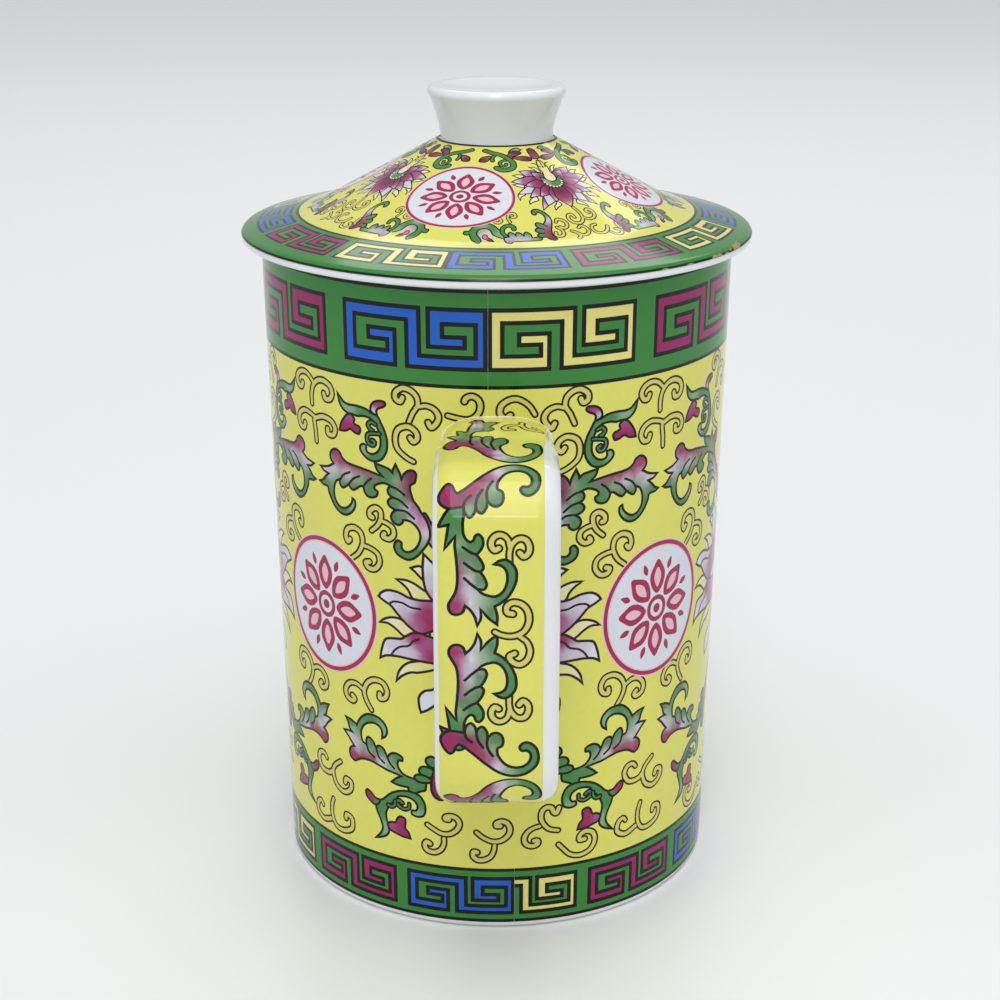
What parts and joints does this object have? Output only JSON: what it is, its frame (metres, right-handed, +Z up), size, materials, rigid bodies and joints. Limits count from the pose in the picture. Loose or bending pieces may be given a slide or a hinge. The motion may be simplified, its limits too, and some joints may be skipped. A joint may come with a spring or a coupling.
{
  "type": "lidded mug",
  "caption": "Tall porcelain mug with a flat strap handle and a loose domed lid with a flared knob, decorated with key-fret borders and a lotus scroll.",
  "frame": {"origin": "on the cup's axis, in the plane of the foot ring that it stands on", "axes": "+Z up along the cup's axis, -Y towards the handle, +X to the right as seen from the handle's side"},
  "size_m": [0.0891, 0.1157, 0.1418],
  "materials": {
    "porcelain": "white glossy glaze",
    "fret_enamel": "glossy green enamel with key frets",
    "scroll_enamel": "glossy yellow enamel with a lotus scroll"
  },
  "bodies": {
    "cup": {"cup": "porcelain", "handle": "porcelain", "upper_border": "fret_enamel", "scroll_panel": "scroll_enamel", "lower_border": "fret_enamel", "handle_strip": "scroll_enamel"},
    "lid": {"lid": "porcelain", "knob": "porcelain", "lid_border": "fret_enamel", "lid_field": "scroll_enamel"}
  },
  "joints": [
    {"name": "lid_lift", "type": "slide", "parent": "cup", "child": "lid", "axis": [0, 0, 1], "range_m": [0, 0.08]}
  ]
}
